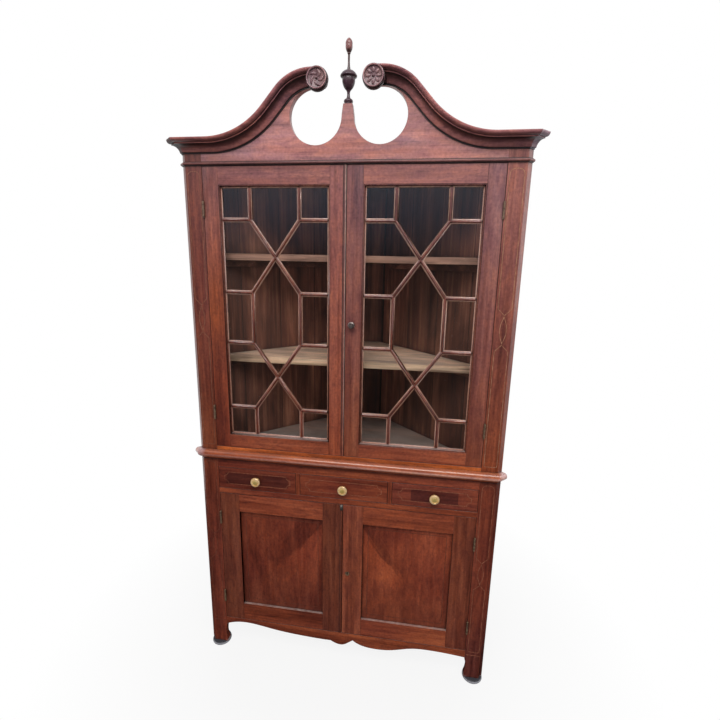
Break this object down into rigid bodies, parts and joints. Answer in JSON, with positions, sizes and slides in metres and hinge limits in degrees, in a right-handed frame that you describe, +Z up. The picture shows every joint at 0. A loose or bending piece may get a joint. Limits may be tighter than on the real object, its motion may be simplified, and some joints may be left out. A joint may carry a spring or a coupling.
{
  "type": "corner cupboard",
  "caption": "Two-stage mahogany corner cupboard with astragal-glazed doors, a swan-neck pediment with rosettes and an urn finial, a row of small drawers and panelled doors.",
  "frame": {"origin": "on the floor, under the middle of the bounding box", "axes": "+Z up; the doors and drawers face -Y; the room corner is towards +Y; +X to the right of someone who faces the front"},
  "size_m": [1.135, 0.535, 2.142],
  "materials": {
    "mahogany": "semi-gloss polish",
    "secondary_wood": "stained, dull",
    "glass": "clear",
    "brass": "polished",
    "foot_cup": "satin black"
  },
  "bodies": {
    "case": {"lower_stiles": "mahogany", "apron": "mahogany", "mid_rail": "mahogany", "drawer_top_rail": "mahogany", "drawer_dividers": "mahogany", "waist_moulding": "mahogany", "upper_stiles": "mahogany", "upper_bottom_rail": "mahogany", "tympanum": "mahogany", "left_swan_neck": "mahogany", "right_swan_neck": "mahogany", "cornice_returns": "mahogany", "necking_bead": "mahogany", "rosettes": "mahogany", "finial_urn": "mahogany", "finial_spire": "mahogany", "lower_top_board": "mahogany", "drawer_deck": "secondary_wood", "lower_bottom_board": "secondary_wood", "lower_shelf": "secondary_wood", "lower_backboards": "secondary_wood", "lower_corner_board": "secondary_wood", "upper_bottom_board": "secondary_wood", "upper_top_board": "secondary_wood", "upper_shelves": "secondary_wood", "shelf_cleats": "secondary_wood", "upper_backboards": "secondary_wood", "upper_corner_board": "secondary_wood", "hinge_case_leaves": "brass", "hinge_pins": "brass", "foot_cups": "foot_cup"},
    "upper_left_door": {"upper_left_door_frame": "mahogany", "upper_left_glazing_bars": "mahogany", "upper_left_panes": "glass", "upper_left_door_hinges": "brass"},
    "upper_right_door": {"upper_right_door_frame": "mahogany", "upper_right_glazing_bars": "mahogany", "upper_right_panes": "glass", "upper_right_door_hinges": "brass"},
    "lower_left_door": {"lower_left_door_frame": "mahogany", "lower_left_panel": "mahogany", "lower_left_door_hinges": "brass"},
    "lower_right_door": {"lower_right_door_frame": "mahogany", "lower_right_panel": "mahogany", "lower_right_door_hinges": "brass", "lock_case": "brass", "lock_escutcheon": "brass"},
    "left_drawer": {"left_drawer_front": "mahogany", "left_drawer_box": "secondary_wood", "left_drawer_knob": "brass"},
    "centre_drawer": {"centre_drawer_front": "mahogany", "centre_drawer_box": "secondary_wood", "centre_drawer_knob": "brass"},
    "right_drawer": {"right_drawer_front": "mahogany", "right_drawer_box": "secondary_wood", "right_drawer_knob": "brass"},
    "door_catch": {"catch_knob": "brass", "catch_tongue": "brass"},
    "door_bolt": {"lock_bolt": "brass"}
  },
  "joints": [
    {"name": "upper_left_door_hinge", "type": "hinge", "parent": "case", "child": "upper_left_door", "pos_m": [-0.46475, -0.2111, 1.3335], "axis": [0, 0, -1], "range_deg": [0, 105]},
    {"name": "upper_right_door_hinge", "type": "hinge", "parent": "case", "child": "upper_right_door", "pos_m": [0.46475, -0.2111, 1.3335], "axis": [0, 0, 1], "range_deg": [0, 105]},
    {"name": "lower_left_door_hinge", "type": "hinge", "parent": "case", "child": "lower_left_door", "pos_m": [-0.46475, -0.2111, 0.403], "axis": [0, 0, -1], "range_deg": [0, 105]},
    {"name": "lower_right_door_hinge", "type": "hinge", "parent": "case", "child": "lower_right_door", "pos_m": [0.46475, -0.2111, 0.403], "axis": [0, 0, 1], "range_deg": [0, 105]},
    {"name": "left_drawer_slide", "type": "slide", "parent": "case", "child": "left_drawer", "axis": [0, -1, 0], "range_m": [0, 0.2]},
    {"name": "centre_drawer_slide", "type": "slide", "parent": "case", "child": "centre_drawer", "axis": [0, -1, 0], "range_m": [0, 0.25]},
    {"name": "right_drawer_slide", "type": "slide", "parent": "case", "child": "right_drawer", "axis": [0, -1, 0], "range_m": [0, 0.2]},
    {"name": "door_catch_turn", "type": "hinge", "parent": "upper_right_door", "child": "door_catch", "pos_m": [0.02275, -0.2075, 1.3225], "axis": [0, 1, 0], "range_deg": [0, 90]},
    {"name": "door_bolt_slide", "type": "slide", "parent": "lower_right_door", "child": "door_bolt", "axis": [-1, 0, 0], "range_m": [0, 0.008]}
  ]
}
